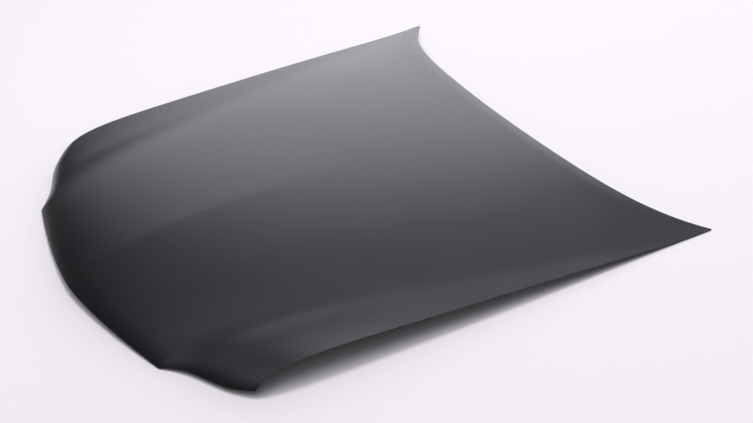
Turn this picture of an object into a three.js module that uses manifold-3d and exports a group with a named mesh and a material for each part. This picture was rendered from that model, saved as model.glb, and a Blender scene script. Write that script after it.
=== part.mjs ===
// A car bonnet as a bare pressed-steel panel in black primer: a crowned outer skin, hemmed round an
// inner frame with hat-section ribs and lightening windows, with the plates and weld nuts that take
// the hinges and the latch, and the pads of mastic that tie the frame to the skin.
// Millimetres. X runs across the car, the lip at the front is towards -Y, and +Z is up.
// The panel lies as it rests on a floor, and the origin is the middle of the floor under it.

import * as THREE from "three";
import { mergeVertices } from "three/addons/utils/BufferGeometryUtils.js";
import Module from "manifold-3d";

const wasm = await Module();
wasm.setup();

// Outline seen from above
const overallWidth = 1450;            // across the two rear corners
const overallLength = 1142;           // from the middle of the lip to the rear corners
const shoulderWidth = 1366;           // across the front ends of the two sides
const lipWidth = 892;                 // across the two corners of the front lip
const lipSweep = 57;                  // how far the lip's middle stands ahead of its corners
const lipSweepPower = 1.55;
const notchLength = 121;              // from a lip corner back to the front end of the side
const notchWave = 0.7;                // how much the notch edge weaves about its straight line
const rearSweep = 113;                // how far the rear corners stand behind the rear edge's middle
const rearHook = 54.5;                // part of that sweep that turns back sharply at the corners
const sideBulge = 24;                 // how far the sides bow outwards, times v(1 - v)

// Heights above the line through the lip's corners and the rear corners
const lipRise = 12;                   // middle of the lip above its corners
const lipRisePower = 1.3;
const shoulderRise = 11;              // front end of the side above the lip's corner
const shoulderRisePower = 2.2;
const notchRise = 48;                 // hump in the notch edge
const rearRise = 44;                  // middle of the rear edge above the rear corners
const rearRiseSquare = 0.7;           // share of it that falls off with the square of the width
const domeHeight = 77.5;              // crown along the middle
const domeReach = 0.19;               // share of the length over which that crown rises
const noseRoll = 7;                   // extra drop where the nose rolls down to the lip
const noseReach = 0.012;              // share of the length over which the nose rolls
const sideHeight = 38;                // crown along the side edges
const sideReach = 0.06;               // share of the length over which that crown rises
const sideDip = 85;                   // how far the side edge dips ahead of the rear corner
const sideDipPower = 8;
const crownPower = 2.2;               // how squarely the crown falls off towards the sides
const edgeReach = 0.035;              // share of the length over which the front edge bends the skin

// Character lines pressed into the skin; widths and lengths are shares of the half width and the length
const ridgeHeight = 3.2;              // crease along the middle
const ridgeReach = 90;                // how far it spreads to each side, in millimetres
const ridgeStart = 0.04;              // where it has reached its full height
const ridgeEnd = 0.65;                // where it has faded out
const foldStart = 0.647;              // fold line beside the shoulder, where it leaves the lip's corner
const foldDrift = 0.376;              // how far it drifts outwards over the length
const foldMargin = 0.015;             // how close it comes to the side at most
const foldDepth = 14.8;               // how far the skin sinks at that line
const foldFade = 1.57;                // how quickly it fades towards the rear
const foldPower = 1.4;                // how gently the skin falls from the middle to the line
const foldSharpness = 5;
const grooveDepth = 1;                // shallow groove just inside the fold line
const grooveWidth = 0.08;
const grooveShift = 0.015;
const grooveStart = 0.05;
const grooveEnd = 0.75;

// Sheet metal
const skinThickness = 0.75;
const frameThickness = 0.7;
const plateThickness = 1.5;
const seatGap = 0.3;                  // clearance between pieces that seat on each other
const hemWidth = 11;                  // how far the skin is folded back under the frame
const frameInset = 2;                 // frame edge to skin edge, inside the hem
const hemLine = 12;                   // skin edge to the first line of the frame's flange
const flangeWidth = 22;               // skin edge to the start of the frame's side wall
const wallFoot = 46;                  // skin edge to the foot of that wall

// Inner frame
const ribDepth = 20;                  // ribs below the skin
const floorClearance = 6;             // lowest level of the ribs above the hem's lowest line
const padGap = 3.2;                   // frame to skin at the window flanges, which the mastic fills
const windowFlange = 18;
const windowWall = 15;
const windowRadius = 28;
const lipToWindow = 175;              // middle of the lip to the line where the spines start
const sideWindowBehind = 20;          // front side windows behind that line
const centreWindowBehind = 60;        // front centre window behind that line
const rearBeam = 131;                 // rear windows to the middle of the rear edge
const sideRail = 145;                 // side edge to the windows beside the cross rib
const notchRail = 211;                // side edge to the front corner of the front side windows
const padClearance = 6;               // rear side window's rim to the hinge pad's slope
const crossRibShare = 0.604;          // place of the cross rib between the front and rear windows
const crossRibHalf = 45;              // half the distance between the windows on each side of a rib
const spineHalf = 38;
const spineFrontX = 70;               // middle of a spine at its front end
const spineRearX = 250;

// Hinge pads, latch seat and their plates
const hingePadFromSide = 127;         // middle of the pad inside the rear corner
const hingePadFromRear = 190;         // middle of the pad ahead of the rear corners
const hingePadWidth = 46;
const hingePadLength = 112;
const hingeBoltFromEnd = 21;          // pad end to bolt
const hingeBoltHole = 5;              // radius
const latchSeatFromLip = 112;         // middle of the seat behind the middle of the lip
const latchSeatWidth = 150;
const latchSeatLength = 58;
const latchBoltFromEnd = 29;          // seat end to bolt
const latchBoltHole = 4.5;            // radius
const strikerSlotWidth = 44;
const strikerSlotLength = 16;
const seatRadius = 12;
const seatStep = 3;                   // how far a pad or seat stands below the rib round it
const seatWall = 6;                   // width of the slope round it
const plateInset = 4;                 // pad edge to plate edge
const nutAcrossFlats = 13;
const nutHeight = 5;
const nutBore = 3.4;                  // radius

// Mastic and small holes
const masticRadius = 7.5;
const masticSides = 12;
const toolingHole = 9;                // radius
const toolingFromWindow = 60;         // hole ahead of a front window or behind a rear one
const holeSides = 20;

// Facets
const columnsInside = 38;             // skin columns between the two walls of the frame
const rowsInside = 22;                // skin rows between them
const edgeRings = [0, hemLine, flangeWidth, wallFoot];
const hemBends = 3;
const windowStep = 62;                // longest straight facet along a window
const arcSteps = 3;                   // facets in each window corner
const leastShare = 0.4;               // keeps the inner face of a sheet from spiking at sharp folds

const sheetBlack = new THREE.MeshStandardMaterial({ color: 0x141416, roughness: 0.38, metalness: 0.0 });
const frameBlack = new THREE.MeshStandardMaterial({ color: 0x18181a, roughness: 0.55, metalness: 0.0 });
const plateBlack = new THREE.MeshStandardMaterial({ color: 0x1c1c1e, roughness: 0.6, metalness: 0.1 });
const masticGrey = new THREE.MeshStandardMaterial({ color: 0x2b2a29, roughness: 0.9, metalness: 0.0 });

const hemRadius = (skinThickness * 2 + seatGap * 2 + frameThickness) / 2;
const rearHalf = overallWidth / 2 - hemRadius;
const shoulderHalf = shoulderWidth / 2 - hemRadius;
const lipHalf = lipWidth / 2;
const lipY = hemRadius - overallLength / 2;
const rearY = overallLength / 2 - hemRadius;
const plainPower = Math.log((lipSweep + notchLength) / lipSweep) / Math.log(shoulderHalf / lipHalf);

const clamp = THREE.MathUtils.clamp;
const lerp = THREE.MathUtils.lerp;

// Front edge: the lip sweeps back to its corners, and each notch weaves on to the side
function frontEdge(x) {
  const across = Math.abs(x);
  const t = Math.min(across / lipHalf, 1);
  const n = Math.max(across - lipHalf, 0) / (shoulderHalf - lipHalf);
  const weave = notchWave * n * (1 - n) * (1 - 2 * n);
  const y = lipY + lipSweep * t ** lipSweepPower + notchLength * (n + weave);
  const lipFall = lipRise * (1 - t ** lipRisePower);
  const z = lipFall + shoulderRise * n ** shoulderRisePower + notchRise * n * (1 - n) ** 3;
  return { y, z };
}

// Rear edge: nearly straight in the middle, turning back into pointed corners
function rearEdge(u) {
  const y = rearY - rearSweep + (rearSweep - rearHook) * u ** 2 + rearHook * u ** 6;
  const z = rearRise * (1 - rearRiseSquare * u ** 2 - (1 - rearRiseSquare) * u ** 4);
  return { y, z };
}

function centreCrown(w) {
  return domeHeight * (1 - w) * (1 - Math.exp(-w / domeReach));
}

function sideCrown(w) {
  const rise = sideHeight * (1 - w) * (1 - Math.exp(-w / sideReach));
  return rise - sideDip * w ** sideDipPower * (1 - w);
}

// Centre crease, and the fold beside each shoulder with its groove
function characterLines(u, w) {
  const across = Math.abs(u);
  const ridgeFade = clamp(w / ridgeStart, 0, 1) * clamp(1 - w / ridgeEnd, 0, 1);
  const ridge = ridgeHeight * ridgeFade * Math.exp((-across * rearHalf) / ridgeReach);
  const fold = Math.min(foldStart + foldDrift * clamp(w, 0, 1), 1 - foldMargin);
  const inside = (across / fold) ** foldPower;
  const outside = Math.max(1 - across, 0) / (1 - fold);
  const blend = (inside ** foldSharpness + outside ** foldSharpness) ** (1 / foldSharpness);
  const sink = foldDepth * Math.max(1 - w, 0) ** foldFade * inside * outside / blend;
  const grooveFade = clamp(w / grooveStart, 0, 1) * clamp(1 - w / grooveEnd, 0, 1);
  const groove = Math.exp(-(((across - fold + grooveShift) / grooveWidth) ** 2));
  return ridge - sink - grooveDepth * grooveFade * groove;
}

// Height of the skin before its front edge bends it; w runs like v, but from a line without notches
function plainHeight(u, w) {
  const sideShare = Math.abs(u) ** crownPower;
  const crown = (1 - sideShare) * centreCrown(w) + sideShare * sideCrown(w);
  const front = lerp(lipRise, shoulderRise, u ** 2);
  return lerp(front, rearEdge(u).z, w) + crown + characterLines(u, w);
}

// Outer face of the skin: u runs -1 to 1 across the car, v runs 0 to 1 from front to rear
function skinPoint(u, v) {
  const front = frontEdge(shoulderHalf * u);
  const rear = rearEdge(u);
  const x = lerp(shoulderHalf, rearHalf, v) * u + sideBow(u, v);
  const y = lerp(front.y, rear.y, v);
  const plainStart = lipY + (lipSweep + notchLength) * Math.abs(u) ** plainPower;
  const w = (y - plainStart) / (rear.y - plainStart);
  const frontW = (front.y - plainStart) / (rear.y - plainStart);
  const nose = noseRoll * (1 - v) * (1 - Math.exp(-v / noseReach));
  const bend = (front.z - plainHeight(u, frontW)) * (1 - v) * Math.exp(-v / edgeReach);
  return new THREE.Vector3(x, y, plainHeight(u, w) + nose + bend);
}

function sideBow(u, v) {
  return Math.sign(u) * u ** 4 * sideBulge * v * (1 - v);
}

// Half the panel's width at a place along its length
function sideX(y) {
  const start = frontEdge(shoulderHalf).y;
  const v = clamp((y - start) / (rearY - start), 0, 1);
  return lerp(shoulderHalf, rearHalf, v) + sideBow(1, v);
}

// The u and v that lie at a place seen from above
function locate(x, y) {
  let u = x / rearHalf;
  let v = 0.5;
  for (let pass = 0; pass < 12; pass += 1) {
    const front = frontEdge(shoulderHalf * u).y;
    const rear = rearEdge(u).y;
    v = (y - front) / (rear - front);
    u = (x - sideBow(u, v)) / lerp(shoulderHalf, rearHalf, v);
  }
  return { u, v };
}

// Lines of the skin's grid: fixed distances in from each edge, then even steps between them
function gridLines(length, inside) {
  const near = edgeRings.map((ring) => ring / length);
  const start = near[near.length - 1];
  const lines = [...near];
  for (let step = 1; step < inside; step += 1) {
    lines.push(lerp(start, 1 - start, step / inside));
  }
  return [...lines, ...near.map((ring) => 1 - ring).reverse()];
}

const columnLines = gridLines(overallWidth, columnsInside).map((line) => 2 * line - 1);
const rowLines = gridLines(overallLength - notchLength, rowsInside);
const lastColumn = columnLines.length - 1;
const lastRow = rowLines.length - 1;
const skinGrid = rowLines.map((v) => columnLines.map((u) => skinPoint(u, v)));

function gridNormal(i, j) {
  const right = skinGrid[j][Math.min(i + 1, lastColumn)];
  const left = skinGrid[j][Math.max(i - 1, 0)];
  const back = skinGrid[Math.min(j + 1, lastRow)][i];
  const front = skinGrid[Math.max(j - 1, 0)][i];
  const across = right.clone().sub(left);
  const along = back.clone().sub(front);
  return across.cross(along).normalize();
}

// Number of the grid line at or before a value, and how far the value lies towards the next line
function linePlace(lines, value) {
  const next = lines.findIndex((line) => line > value);
  const start = next < 1 ? lines.length - 2 : next - 1;
  return { start, share: (value - lines[start]) / (lines[start + 1] - lines[start]) };
}

// Height of the skin's facets at a place seen from above
function skinHeight(x, y) {
  const { u, v } = locate(x, y);
  const column = linePlace(columnLines, u);
  const row = linePlace(rowLines, v);
  const near = skinGrid[row.start];
  const far = skinGrid[row.start + 1];
  const base = near[column.start].z;
  const opposite = far[column.start + 1].z;
  if (column.share > row.share) {
    const corner = near[column.start + 1].z;
    return base + column.share * (corner - base) + row.share * (opposite - corner);
  }
  const corner = far[column.start].z;
  return base + row.share * (corner - base) + column.share * (opposite - corner);
}

const skinNormals = skinGrid.map((row, j) => row.map((point, i) => gridNormal(i, j)));

// Grid places of one ring, counted from the edge inwards, anticlockwise seen from above
function ringPlaces(ring) {
  const places = [];
  for (let i = ring; i < lastColumn - ring; i += 1) {
    places.push([i, ring]);
  }
  for (let j = ring; j < lastRow - ring; j += 1) {
    places.push([lastColumn - ring, j]);
  }
  for (let i = lastColumn - ring; i > ring; i -= 1) {
    places.push([i, lastRow - ring]);
  }
  for (let j = lastRow - ring; j > ring; j -= 1) {
    places.push([ring, j]);
  }
  return places;
}

// The place one ring further in from a place on an outer ring
function stepInward([i, j], ring) {
  const column = clamp(i, ring + 1, lastColumn - ring - 1);
  const row = clamp(j, ring + 1, lastRow - ring - 1);
  return [column, row];
}

// One face of a sheet: points, and triangles that are anticlockwise seen from its outer side
class Sheet {
  constructor() {
    this.points = [];
    this.triangles = [];
  }

  add(point) {
    this.points.push(point);
    return this.points.length - 1;
  }

  addAll(points) {
    return points.map((point) => this.add(point));
  }

  quad(a, b, c, d) {
    this.triangles.push([a, b, c], [a, c, d]);
  }

  // Closed band between two loops of as many points; the outer loop is named first
  band(outer, inner) {
    outer.forEach((start, index) => {
      const next = (index + 1) % outer.length;
      this.quad(start, outer[next], inner[next], inner[index]);
    });
  }

  // Flat or curved area inside one loop and outside the others
  fill(contour, holes) {
    const plan = (ids) => ids.map((id) => new THREE.Vector2(this.points[id].x, this.points[id].y));
    const ids = [...contour, ...holes.flat()];
    const faces = THREE.ShapeUtils.triangulateShape(plan(contour), holes.map(plan));
    this.triangles.push(...evenOut(plan(ids), faces).map((face) => face.map((corner) => ids[corner])));
  }
}

// Swaps the shared side of two triangles wherever that makes their smallest angle larger
function evenOut(plan, faces) {
  const angleAt = (here, left, right) => {
    const toLeft = plan[left].clone().sub(plan[here]);
    const toRight = plan[right].clone().sub(plan[here]);
    return Math.atan2(toLeft.cross(toRight), toLeft.dot(toRight));
  };
  const smallest = (a, b, c) => Math.min(angleAt(a, b, c), angleAt(b, c, a), angleAt(c, a, b));
  let changed = true;
  for (let pass = 0; changed && pass < 60; pass += 1) {
    changed = false;
    const sides = new Map();
    faces.forEach((face, index) => {
      face.forEach((corner, k) => {
        sides.set(`${corner}_${face[(k + 1) % 3]}`, { index, far: face[(k + 2) % 3] });
      });
    });
    const touched = new Set();
    sides.forEach(({ index, far }, side) => {
      const [a, b] = side.split("_").map(Number);
      const other = sides.get(`${b}_${a}`);
      if (!other || touched.has(index) || touched.has(other.index)) {
        return;
      }
      const before = Math.min(smallest(a, b, far), smallest(b, a, other.far));
      const after = Math.min(smallest(far, a, other.far), smallest(other.far, b, far));
      if (after > before + 1e-6) {
        faces[index] = [far, a, other.far];
        faces[other.index] = [other.far, b, far];
        touched.add(index).add(other.index);
        changed = true;
      }
    });
  }
  return faces;
}

function faceNormal(points, [a, b, c]) {
  const ab = points[b].clone().sub(points[a]);
  const ac = points[c].clone().sub(points[a]);
  return ab.cross(ac).normalize();
}

// Normal of each point, and how far along it the inner face lies for one unit of thickness
function sheetNormals(points, triangles) {
  const sums = points.map(() => new THREE.Vector3());
  const faces = points.map(() => []);
  triangles.forEach((triangle) => {
    const normal = faceNormal(points, triangle);
    triangle.forEach((corner, index) => {
      const here = points[corner];
      const toNext = points[triangle[(index + 1) % 3]].clone().sub(here);
      const toLast = points[triangle[(index + 2) % 3]].clone().sub(here);
      sums[corner].addScaledVector(normal, toNext.angleTo(toLast));
      faces[corner].push(normal);
    });
  });
  return sums.map((sum, index) => {
    const normal = sum.normalize();
    const total = faces[index].reduce((share, face) => share + Math.max(normal.dot(face), leastShare), 0);
    return normal.multiplyScalar(faces[index].length / total);
  });
}

// Closed solid of one thickness behind the outer face of a sheet
function thicken(sheet, thickness) {
  const { points, triangles } = sheet;
  const normals = sheetNormals(points, triangles);
  const count = points.length;
  const inner = points.map((point, index) => point.clone().addScaledVector(normals[index], -thickness));
  const faces = [...triangles];
  triangles.forEach(([a, b, c]) => {
    faces.push([a + count, c + count, b + count]);
  });
  const edges = new Set();
  triangles.forEach(([a, b, c]) => {
    edges.add(`${a}_${b}`);
    edges.add(`${b}_${c}`);
    edges.add(`${c}_${a}`);
  });
  edges.forEach((edge) => {
    const [a, b] = edge.split("_").map(Number);
    if (!edges.has(`${b}_${a}`)) {
      faces.push([a, a + count, b + count], [a, b + count, b]);
    }
  });
  const geometry = new THREE.BufferGeometry();
  const position = [...points, ...inner].flatMap((point) => point.toArray());
  geometry.setAttribute("position", new THREE.Float32BufferAttribute(position, 3));
  geometry.setIndex(faces.flat());
  return geometry;
}

function toSolid(geometry) {
  const bare = geometry.clone();
  bare.deleteAttribute("normal");
  bare.deleteAttribute("uv");
  const merged = mergeVertices(bare, 1e-5);
  return new wasm.Manifold(new wasm.Mesh({
    numProp: 3,
    vertProperties: new Float32Array(merged.attributes.position.array),
    triVerts: new Uint32Array(merged.index.array),
  }));
}

function toGeometry(solid) {
  const mesh = solid.getMesh();
  const geometry = new THREE.BufferGeometry();
  geometry.setAttribute("position", new THREE.BufferAttribute(mesh.vertProperties, 3));
  geometry.setIndex(new THREE.BufferAttribute(mesh.triVerts, 1));
  return geometry;
}

// Upright cutter for a round hole
function holeCutter(x, y, radius, low, high) {
  const cylinder = new THREE.CylinderGeometry(radius, radius, high - low, holeSides);
  cylinder.rotateX(Math.PI / 2);
  cylinder.translate(x, y, (low + high) / 2);
  return toSolid(cylinder);
}

// Outline with round corners, seen from above: points and the outward normal at each
function roundedOutline(corners, radius) {
  const outline = [];
  corners.forEach((corner, index) => {
    const last = corners[(index + corners.length - 1) % corners.length];
    const next = corners[(index + 1) % corners.length];
    const into = corner.clone().sub(last).normalize();
    const out = next.clone().sub(corner).normalize();
    const turn = Math.atan2(into.cross(out), into.dot(out));
    const setback = radius * Math.tan(turn / 2);
    const centre = corner.clone().addScaledVector(into, -setback);
    centre.add(new THREE.Vector2(-into.y, into.x).multiplyScalar(radius));
    const startAngle = Math.atan2(-into.x, into.y);
    for (let step = 0; step <= arcSteps; step += 1) {
      const angle = startAngle + (turn * step) / arcSteps;
      const normal = new THREE.Vector2(Math.cos(angle), Math.sin(angle));
      outline.push({ point: centre.clone().addScaledVector(normal, radius), normal });
    }
    const arcEnd = outline[outline.length - 1];
    const afterTurn = Math.atan2(...turnAt(corners, index + 1));
    const nextStart = next.clone().addScaledVector(out, -radius * Math.tan(afterTurn / 2));
    const run = nextStart.distanceTo(arcEnd.point);
    const pieces = Math.max(Math.ceil(run / windowStep), 1);
    for (let step = 1; step < pieces; step += 1) {
      outline.push({ point: arcEnd.point.clone().lerp(nextStart, step / pieces), normal: arcEnd.normal });
    }
  });
  return outline;
}

// Sine and cosine of the turn at one corner of a closed outline
function turnAt(corners, index) {
  const here = corners[index % corners.length];
  const last = corners[(index + corners.length - 1) % corners.length];
  const next = corners[(index + 1) % corners.length];
  const into = here.clone().sub(last).normalize();
  const out = next.clone().sub(here).normalize();
  return [into.cross(out), into.dot(out)];
}

function rectangle(x, y, width, length) {
  const halfX = width / 2;
  const halfY = length / 2;
  return [
    new THREE.Vector2(x - halfX, y - halfY),
    new THREE.Vector2(x + halfX, y - halfY),
    new THREE.Vector2(x + halfX, y + halfY),
    new THREE.Vector2(x - halfX, y + halfY),
  ];
}

function mirrored(corners) {
  return corners.map((corner) => new THREE.Vector2(-corner.x, corner.y)).reverse();
}

// Windows of the frame, as the corners of each opening, anticlockwise seen from above.
// Two spines fan out from the latch to the rear beam, and one cross rib joins them to the sides.
const windowRim = windowFlange + windowWall;
const frontWindowY = lipY + lipToWindow;
const rearWindowY = rearY - rearSweep - rearBeam;
const crossRibY = lerp(frontWindowY, rearWindowY, crossRibShare);
const windowRear = crossRibY - crossRibHalf;
const windowFront = crossRibY + crossRibHalf;
const hingePadX = overallWidth / 2 - hingePadFromSide;
const hingeBoltSpacing = hingePadLength - 2 * hingeBoltFromEnd;
const latchBoltSpacing = latchSeatWidth - 2 * latchBoltFromEnd;

function spineX(y) {
  return lerp(spineFrontX, spineRearX, (y - frontWindowY) / (rearWindowY - frontWindowY));
}

function centreWindow(front, rear) {
  return [
    new THREE.Vector2(-spineX(front) + spineHalf, front),
    new THREE.Vector2(spineX(front) - spineHalf, front),
    new THREE.Vector2(spineX(rear) - spineHalf, rear),
    new THREE.Vector2(-spineX(rear) + spineHalf, rear),
  ];
}

function sideWindow(front, rear, outerFront, outerRear) {
  return [
    new THREE.Vector2(spineX(front) + spineHalf, front),
    new THREE.Vector2(outerFront, front),
    new THREE.Vector2(outerRear, rear),
    new THREE.Vector2(spineX(rear) + spineHalf, rear),
  ];
}

const sideFrontY = frontWindowY + sideWindowBehind;
const besidePad = hingePadX - hingePadWidth / 2 - seatWall - padClearance - windowRim;
const besideNotch = sideX(sideFrontY) - notchRail;
const rightFront = sideWindow(sideFrontY, windowRear, besideNotch, sideX(windowRear) - sideRail);
const rightRear = sideWindow(windowFront, rearWindowY, sideX(windowFront) - sideRail, besidePad);
const windows = [
  centreWindow(frontWindowY + centreWindowBehind, windowRear),
  centreWindow(windowFront, rearWindowY),
  rightFront,
  mirrored(rightFront),
  rightRear,
  mirrored(rightRear),
];

const hingeY = rearY - hingePadFromRear;
const latchY = lipY + latchSeatFromLip;
const padCorners = (side) => rectangle(side * hingePadX, hingeY, hingePadWidth, hingePadLength);
const latchCorners = rectangle(0, latchY, latchSeatWidth, latchSeatLength);

// Outer face of the frame, the one that looks at the skin
function flangeHeight(x, y) {
  return skinHeight(x, y) - skinThickness - padGap;
}

function ribHeight(x, y) {
  const skin = skinHeight(x, y);
  const level = Math.max(skin - ribDepth, floorClearance);
  return Math.min(level, skin - skinThickness - padGap);
}

const hingePadHeight = ribHeight(hingePadX, hingeY) - seatStep;
const latchSeatHeight = ribHeight(0, latchY) - seatStep;

// Loop of a sheet that follows an outline at one distance outside it
function loopAt(sheet, outline, distance, height) {
  return outline.map(({ point, normal }) => {
    const place = point.clone().addScaledVector(normal, distance);
    return sheet.add(new THREE.Vector3(place.x, place.y, height(place.x, place.y)));
  });
}

// Skin with its hem
function outerSkin() {
  const sheet = new Sheet();
  const ids = skinGrid.map((row) => sheet.addAll(row));
  for (let j = 0; j < lastRow; j += 1) {
    for (let i = 0; i < lastColumn; i += 1) {
      sheet.quad(ids[j][i], ids[j][i + 1], ids[j + 1][i + 1], ids[j + 1][i]);
    }
  }
  const edge = ringPlaces(0);
  let loop = edge.map(([i, j]) => ids[j][i]);
  const outward = edge.map((place, index) => {
    const [i, j] = place;
    const [iNext, jNext] = edge[(index + 1) % edge.length];
    const [iLast, jLast] = edge[(index + edge.length - 1) % edge.length];
    const forward = skinGrid[jNext][iNext].clone().sub(skinGrid[j][i]).normalize();
    const backward = skinGrid[j][i].clone().sub(skinGrid[jLast][iLast]).normalize();
    return forward.add(backward).cross(skinNormals[j][i]).normalize();
  });
  for (let bend = 1; bend <= hemBends; bend += 1) {
    const angle = (Math.PI * bend) / hemBends;
    const next = edge.map(([i, j], index) => {
      const point = skinGrid[j][i].clone();
      point.addScaledVector(outward[index], hemRadius * Math.sin(angle));
      point.addScaledVector(skinNormals[j][i], hemRadius * (Math.cos(angle) - 1));
      return sheet.add(point);
    });
    sheet.band(next, loop);
    loop = next;
  }
  const inner = edge.map(([i, j]) => {
    const [column, row] = stepInward([i, j], 0);
    const point = skinGrid[j][i].clone().lerp(skinGrid[row][column], hemWidth / hemLine);
    return sheet.add(point.addScaledVector(skinNormals[j][i], -2 * hemRadius));
  });
  sheet.band(inner, loop);
  return thicken(sheet, skinThickness);
}

// Inner frame: flange in the hem, side wall, ribs, windows, hinge pads and latch seat
function innerFrame() {
  const sheet = new Sheet();
  const below = -(skinThickness + seatGap);
  const edge = ringPlaces(0);
  const edgeLoop = edge.map(([i, j]) => {
    const [column, row] = stepInward([i, j], 0);
    const point = skinGrid[j][i].clone().lerp(skinGrid[row][column], frameInset / hemLine);
    return sheet.add(point.addScaledVector(skinNormals[j][i], below));
  });
  const ids = skinGrid.map((row) => row.map(() => null));
  const flangeId = ([i, j]) => {
    if (ids[j][i] === null) {
      ids[j][i] = sheet.add(skinGrid[j][i].clone().addScaledVector(skinNormals[j][i], below));
    }
    return ids[j][i];
  };
  const wallId = ([i, j]) => {
    if (ids[j][i] === null) {
      const { x, y } = skinGrid[j][i];
      ids[j][i] = sheet.add(new THREE.Vector3(x, y, ribHeight(x, y)));
    }
    return ids[j][i];
  };
  const makers = [flangeId, flangeId, wallId];
  let outer = edgeLoop;
  let places = edge;
  makers.forEach((maker, ring) => {
    const inward = places.map((place) => maker(stepInward(place, ring)));
    outer.forEach((start, index) => {
      const next = (index + 1) % outer.length;
      sheet.triangles.push([start, outer[next], inward[next]]);
      if (inward[next] !== inward[index]) {
        sheet.triangles.push([start, inward[next], inward[index]]);
      }
    });
    places = ringPlaces(ring + 1);
    outer = places.map(([i, j]) => ids[j][i]);
  });
  const holes = [];
  windows.forEach((corners) => {
    const outline = roundedOutline(corners, windowRadius);
    const rib = loopAt(sheet, outline, windowRim, ribHeight);
    const foot = loopAt(sheet, outline, windowFlange, flangeHeight);
    const lip = loopAt(sheet, outline, 0, flangeHeight);
    sheet.band(rib, foot);
    sheet.band(foot, lip);
    holes.push(rib);
  });
  const seats = [
    { corners: padCorners(1), level: hingePadHeight },
    { corners: padCorners(-1), level: hingePadHeight },
    { corners: latchCorners, level: latchSeatHeight },
  ];
  seats.forEach(({ corners, level }) => {
    const outline = roundedOutline(corners, seatRadius);
    const rib = loopAt(sheet, outline, seatWall, ribHeight);
    const face = loopAt(sheet, outline, 0, () => level);
    sheet.band(rib, face);
    sheet.fill(face, []);
    holes.push(rib);
  });
  sheet.fill(outer, holes);
  let solid = toSolid(thicken(sheet, frameThickness));
  [...seatHoles(), ...toolingHoles()].forEach(({ x, y, radius, level }) => {
    solid = solid.subtract(holeCutter(x, y, radius, level - padGap, level + padGap));
  });
  const slot = new THREE.ExtrudeGeometry(strikerSlot(), { depth: 2 * padGap, bevelEnabled: false });
  slot.translate(0, latchY, latchSeatHeight - padGap);
  return toGeometry(solid.subtract(toSolid(slot)));
}

// Bolt holes through the pads and the latch seat
function seatHoles() {
  const holes = [];
  [-1, 1].forEach((side) => {
    [-0.5, 0.5].forEach((end) => {
      const y = hingeY + end * hingeBoltSpacing;
      holes.push({ x: side * hingePadX, y, radius: hingeBoltHole, level: hingePadHeight });
    });
    const x = (side * latchBoltSpacing) / 2;
    holes.push({ x, y: latchY, radius: latchBoltHole, level: latchSeatHeight });
  });
  return holes;
}

// Round holes by which the frame is held while it is welded: ahead of the front side windows,
// behind the rear ones, and where each spine crosses the cross rib
function toolingHoles() {
  const middleX = (a, b) => (a.x + b.x) / 2;
  const frontX = middleX(rightFront[0], rightFront[1]);
  const rearX = middleX(rightRear[2], rightRear[3]);
  return [-1, 1].flatMap((side) => {
    const places = [
      [side * spineX(crossRibY), crossRibY],
      [side * frontX, sideFrontY - toolingFromWindow],
      [side * rearX, rearWindowY + toolingFromWindow],
    ];
    return places.map(([x, y]) => ({ x, y, radius: toolingHole, level: ribHeight(x, y) }));
  });
}

function strikerSlot() {
  const endRadius = 0.45 * strikerSlotLength;
  const outline = roundedOutline(rectangle(0, 0, strikerSlotWidth, strikerSlotLength), endRadius);
  return new THREE.Shape(outline.map(({ point }) => point));
}

// Flat plate that lies on the frame behind a pad or seat
function reinforcement(width, length, holes, slots) {
  const inset = 2 * plateInset;
  const outline = roundedOutline(rectangle(0, 0, width - inset, length - inset), seatRadius - plateInset);
  const shape = new THREE.Shape(outline.map(({ point }) => point));
  holes.forEach(({ x, y, radius }) => {
    const hole = new THREE.Path();
    hole.absarc(x, y, radius, 0, Math.PI * 2, true);
    shape.holes.push(hole);
  });
  shape.holes.push(...slots);
  const settings = { depth: plateThickness, bevelEnabled: false, curveSegments: holeSides / 2 };
  return new THREE.ExtrudeGeometry(shape, settings);
}

// Hexagonal weld nut
function weldNut() {
  const shape = new THREE.Shape();
  const cornerRadius = nutAcrossFlats / Math.sqrt(3);
  for (let corner = 0; corner < 6; corner += 1) {
    const angle = (corner * Math.PI) / 3;
    const move = corner === 0 ? "moveTo" : "lineTo";
    shape[move](cornerRadius * Math.cos(angle), cornerRadius * Math.sin(angle));
  }
  const bore = new THREE.Path();
  bore.absarc(0, 0, nutBore, 0, Math.PI * 2, true);
  shape.holes.push(bore);
  return new THREE.ExtrudeGeometry(shape, { depth: nutHeight, bevelEnabled: false, curveSegments: 6 });
}

// Low pad of mastic between the frame's flange and the skin, shaped to both
function masticPad(x, y) {
  const sheet = new Sheet();
  const ring = [];
  for (let side = 0; side < masticSides; side += 1) {
    const angle = (2 * Math.PI * side) / masticSides;
    ring.push([x + masticRadius * Math.cos(angle), y + masticRadius * Math.sin(angle)]);
  }
  const top = (px, py) => skinHeight(px, py) - skinThickness - seatGap;
  const foot = (px, py) => skinHeight(px, py) - skinThickness - padGap + seatGap;
  const upper = ring.map(([px, py]) => sheet.add(new THREE.Vector3(px, py, top(px, py))));
  const lower = ring.map(([px, py]) => sheet.add(new THREE.Vector3(px, py, foot(px, py))));
  const upperMiddle = sheet.add(new THREE.Vector3(x, y, top(x, y)));
  const lowerMiddle = sheet.add(new THREE.Vector3(x, y, foot(x, y)));
  sheet.band(lower, upper);
  upper.forEach((start, index) => {
    const next = (index + 1) % masticSides;
    sheet.triangles.push([start, upper[next], upperMiddle], [lower[next], lower[index], lowerMiddle]);
  });
  const geometry = new THREE.BufferGeometry();
  const position = sheet.points.flatMap((point) => point.toArray());
  geometry.setAttribute("position", new THREE.Float32BufferAttribute(position, 3));
  geometry.setIndex(sheet.triangles.flat());
  return geometry;
}

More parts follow.
